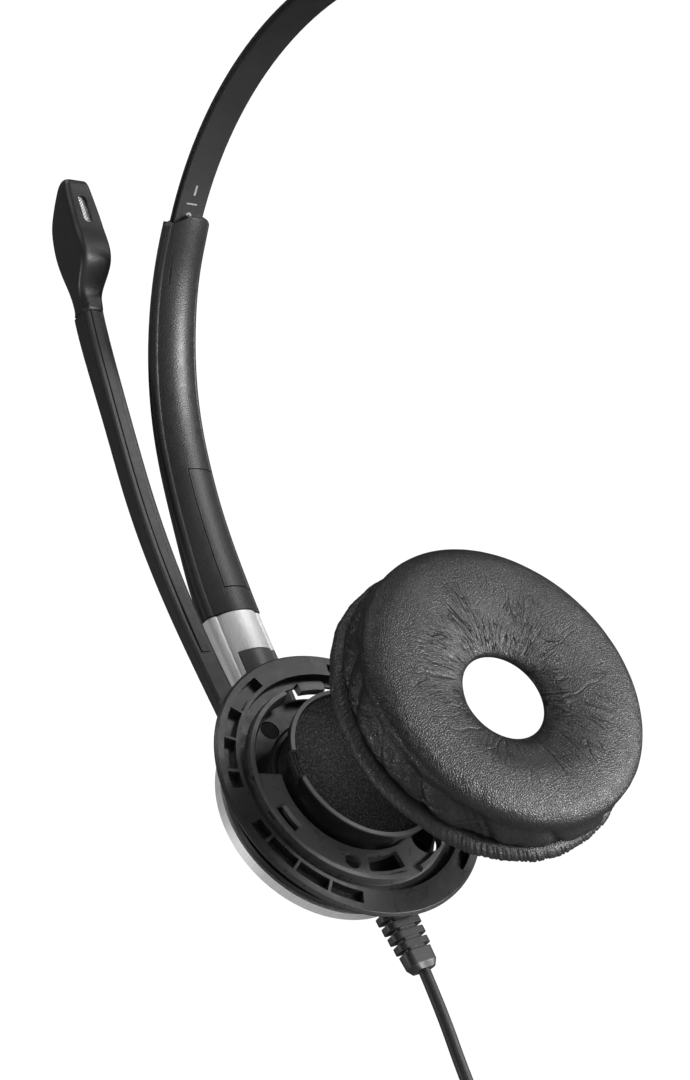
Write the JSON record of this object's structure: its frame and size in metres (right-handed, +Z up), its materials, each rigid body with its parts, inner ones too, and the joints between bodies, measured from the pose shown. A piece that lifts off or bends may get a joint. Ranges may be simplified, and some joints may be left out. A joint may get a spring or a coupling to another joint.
{
  "type": "one-ear wired office headset",
  "caption": "Wired one-ear office headset: sliding headband, tilting ear ring, pull-off ear pad, swinging microphone boom and hanging lead.",
  "frame": {"origin": "on the ear axis, midway through the wearer's head", "axes": "+Z up as worn, +X from the ear cup across the head to the other side, -Y the wearer's front"},
  "size_m": [0.1617, 0.083, 0.3455],
  "materials": {
    "arm_plastic": "fine-grain matt black plastic",
    "band_plastic": "smooth satin dark grey plastic",
    "cup_plastic": "satin black plastic",
    "ring_plastic": "satin dark grey plastic",
    "light_plastic": "satin light grey plastic",
    "aluminium": "brushed along its length",
    "silver_cover": "fine silver satin",
    "spring_steel": "plain spring steel",
    "steel": "plated steel",
    "rubber": "matt black soft plastic",
    "leatherette": "black leatherette with fine grain",
    "foam": "speckled dark grey foam",
    "pad_foam": "open-cell foam",
    "mesh": "silver wire mesh",
    "board": "green circuit board",
    "magnet": "dull grey magnet",
    "film": "thin clear film",
    "copper": "copper wire",
    "contacts": "gold plate"
  },
  "bodies": {
    "headband": {"headband_strip": "band_plastic", "headband_spring": "spring_steel", "band_end_cap": "arm_plastic"},
    "temple_support": {"temple_bar": "arm_plastic", "temple_pad": "leatherette", "temple_pivot_pin": "steel"},
    "arm_and_cup": {"arm_inner_shell": "arm_plastic", "arm_outer_shell": "arm_plastic", "arm_cover_panel": "arm_plastic", "slider_detent_spring": "spring_steel", "metal_sleeve": "aluminium", "sleeve_tab": "cup_plastic", "outer_cover": "silver_cover", "rear_frame_plate": "cup_plastic", "rear_housing": "cup_plastic", "front_baffle": "cup_plastic", "baffle_screws": "steel", "driver_capsule": "cup_plastic", "driver_foam": "foam", "driver_basket": "steel", "driver_magnet": "magnet", "voice_coil": "copper", "diaphragm": "film", "circuit_board": "board", "tilt_clip": "light_plastic", "ring_hinge_pins": "steel", "friction_washer": "spring_steel", "strain_relief": "rubber", "cord_inner_end": "rubber", "cord_lead": "rubber", "cord_coil": "rubber", "cord_tie": "rubber", "cord_tail": "rubber", "plug_relief": "rubber", "plug_back_half": "cup_plastic", "plug_front_half": "cup_plastic", "plug_latch": "light_plastic", "plug_contacts": "contacts"},
    "pad_ring": {"pad_ring": "ring_plastic"},
    "ear_pad": {"ear_pad_cover": "leatherette", "ear_pad_foam": "pad_foam", "ear_pad_skirt": "leatherette", "ear_pad_back_ring": "cup_plastic"},
    "boom": {"boom_hub": "cup_plastic", "boom_arm": "arm_plastic", "boom_inlay": "rubber", "mic_back_shell": "arm_plastic", "mic_front_shell": "arm_plastic", "mic_mesh": "mesh", "mic_capsule": "steel"}
  },
  "joints": [
    {"name": "headband_slide", "type": "hinge", "parent": "headband", "child": "arm_and_cup", "pos_m": [0, 0, 0.069], "axis": [0, -1, 0], "range_deg": [-4, 16]},
    {"name": "temple_bar_tilt", "type": "hinge", "parent": "headband", "child": "temple_support", "pos_m": [0.06036, 0, 0.11438], "axis": [0, 1, 0], "range_deg": [-7, 7]},
    {"name": "ring_tilt", "type": "hinge", "parent": "arm_and_cup", "child": "pad_ring", "pos_m": [-0.0706, 0, 0], "axis": [0, 1, 0], "range_deg": [-4, 4]},
    {"name": "ear_pad_seating", "type": "hinge", "parent": "pad_ring", "child": "ear_pad", "pos_m": [0.02029, -0.14247, -0.1392], "axis": [0.393, -0.5084, 0.7662], "range_deg": [0, 8.39]},
    {"name": "boom_swing", "type": "hinge", "parent": "arm_and_cup", "child": "boom", "pos_m": [-0.068, 0, 0], "axis": [1, 0, 0], "range_deg": [0, 150]}
  ]
}
